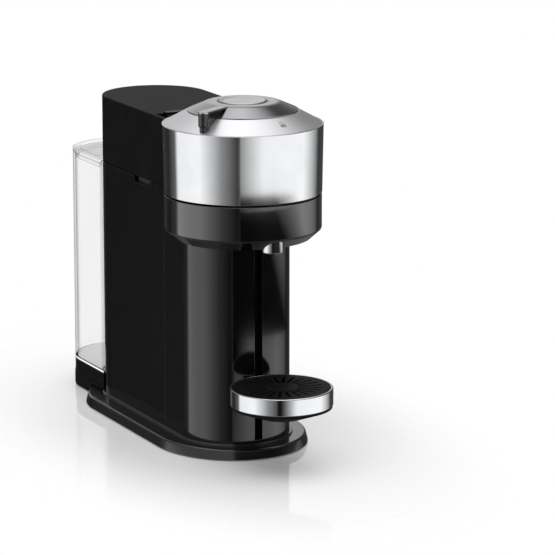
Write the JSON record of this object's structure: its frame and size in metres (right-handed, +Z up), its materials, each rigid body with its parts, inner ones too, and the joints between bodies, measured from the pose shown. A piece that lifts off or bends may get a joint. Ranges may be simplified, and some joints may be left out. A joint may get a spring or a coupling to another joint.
{
  "type": "pod coffee machine",
  "caption": "Free-standing pod coffee machine: black oval tower, hinged chrome brewing head with lever and button, sliding cup support, clear rear water tank.",
  "frame": {"origin": "on the floor under the middle of the machine's box", "axes": "+Z up, the front with the cup support faces -Y, +X to the right as seen from the front"},
  "size_m": [0.142, 0.429, 0.314],
  "materials": {
    "gloss_black": "smooth glossy black moulding",
    "satin_black": "satin black moulding",
    "chrome_plate": "polished chrome plating",
    "satin_aluminium": "satin, brushed round the axis",
    "dark_metal": "dark grey, brushed round the axis",
    "button_silver": "grey polished metal skin",
    "clear_plastic": "clear and colourless",
    "black_rubber": "matt",
    "silicone_hose": "milky silicone",
    "plain_steel": "plain bright steel",
    "cast_aluminium": "as cast",
    "inner_plastic": "dark grey fine texture",
    "bearing_plastic": "natural off-white",
    "circuit_board": "green solder mask",
    "light_white": "milky light guide"
  },
  "bodies": {
    "machine": {"feet": "black_rubber", "base_pan": "inner_plastic", "base_cover": "satin_black", "base_screws": "plain_steel", "tower_front_cover": "gloss_black", "tower_rear_shell": "gloss_black", "guide_rail": "satin_black", "chassis": "inner_plastic", "cord_gland": "satin_black", "lower_head_shell": "gloss_black", "head_deck": "inner_plastic", "coffee_collector": "inner_plastic", "coffee_spout": "chrome_plate", "code_reader": "inner_plastic", "holder_bush": "bearing_plastic", "drive_belt": "black_rubber", "brew_motor": "plain_steel", "hinge_bracket": "plain_steel", "hinge_pins": "plain_steel", "head_spring": "plain_steel", "tank_seat": "satin_black", "seat_seal": "black_rubber", "inlet_tube": "silicone_hose", "flow_meter": "inner_plastic", "water_pump": "plain_steel", "pump_mounts": "black_rubber", "heater_block": "cast_aluminium", "suction_hose": "silicone_hose", "pressure_hose": "silicone_hose", "head_hose": "silicone_hose", "control_board": "circuit_board"},
    "head": {"head_band": "chrome_plate", "shoulder_ring": "satin_aluminium", "head_liner": "inner_plastic", "head_frame": "inner_plastic", "clamp_bush": "bearing_plastic", "injector": "plain_steel", "feed_tube": "silicone_hose", "button_light": "light_white", "button_board": "circuit_board"},
    "lever": {"lever_collar": "dark_metal", "lock_cam": "inner_plastic", "lever_arm": "gloss_black", "lever_cap": "dark_metal"},
    "button": {"brew_button": "button_silver"},
    "clamp": {"clamp_rotor": "inner_plastic", "clamp_seal": "black_rubber"},
    "holder": {"capsule_holder": "cast_aluminium"},
    "motor_rotor": {"motor_pulley": "plain_steel"},
    "bin": {"bin_cover": "satin_black", "capsule_bucket": "inner_plastic"},
    "tank": {"water_tank": "clear_plastic", "valve_cage": "inner_plastic", "valve_spring": "plain_steel"},
    "lid": {"tank_lid": "clear_plastic"},
    "valve": {"tank_valve": "inner_plastic"},
    "support": {"support_ring": "chrome_plate", "support_bowl": "satin_black"},
    "tray": {"drip_tray": "satin_black"},
    "grid": {"drip_grid": "satin_black"}
  },
  "joints": [
    {"name": "head_open", "type": "hinge", "parent": "machine", "child": "head", "pos_m": [0, -0.017, 0.287], "axis": [-1, 0, 0], "range_deg": [0, 25]},
    {"name": "lever_turn", "type": "hinge", "parent": "head", "child": "lever", "pos_m": [0, -0.093, 0.305], "axis": [0, 0, 1], "range_deg": [0, 68]},
    {"name": "button_press", "type": "slide", "parent": "head", "child": "button", "axis": [0, 0, -1], "range_m": [0, 0.0015], "stiffness_N_per_m": 1200},
    {"name": "holder_spin", "type": "hinge", "parent": "machine", "child": "holder", "pos_m": [0, -0.093, 0.2], "axis": [0, 0, 1], "continuous": true},
    {"name": "motor_spin", "type": "hinge", "parent": "machine", "child": "motor_rotor", "pos_m": [0, -0.044, 0.2], "axis": [0, 0, 1], "continuous": true},
    {"name": "clamp_spin", "type": "hinge", "parent": "head", "child": "clamp", "pos_m": [0, -0.093, 0.25], "axis": [0, 0, 1], "continuous": true},
    {"name": "bin_lift", "type": "slide", "parent": "machine", "child": "bin", "axis": [0, 0, 1], "range_m": [0, 0.11]},
    {"name": "tank_lift", "type": "slide", "parent": "machine", "child": "tank", "axis": [0, 0, 1], "range_m": [0, 0.06]},
    {"name": "lid_lift", "type": "slide", "parent": "tank", "child": "lid", "axis": [0, 0, 1], "range_m": [0, 0.05]},
    {"name": "valve_push", "type": "slide", "parent": "tank", "child": "valve", "axis": [0, 0, 1], "range_m": [0, 0.0025], "stiffness_N_per_m": 200, "deforming": ["valve_spring"]},
    {"name": "support_slide", "type": "slide", "parent": "machine", "child": "support", "axis": [0, 0, 1], "range_m": [-0.026, 0.055]},
    {"name": "tray_lift", "type": "slide", "parent": "support", "child": "tray", "axis": [0, 0, 1], "range_m": [0, 0.025]},
    {"name": "grid_lift", "type": "slide", "parent": "tray", "child": "grid", "axis": [0, 0, 1], "range_m": [0, 0.025]}
  ],
  "couplings": [
    {"joint": "motor_spin", "follows": "holder_spin", "ratio": 2.5},
    {"joint": "clamp_spin", "follows": "holder_spin", "ratio": 1}
  ]
}
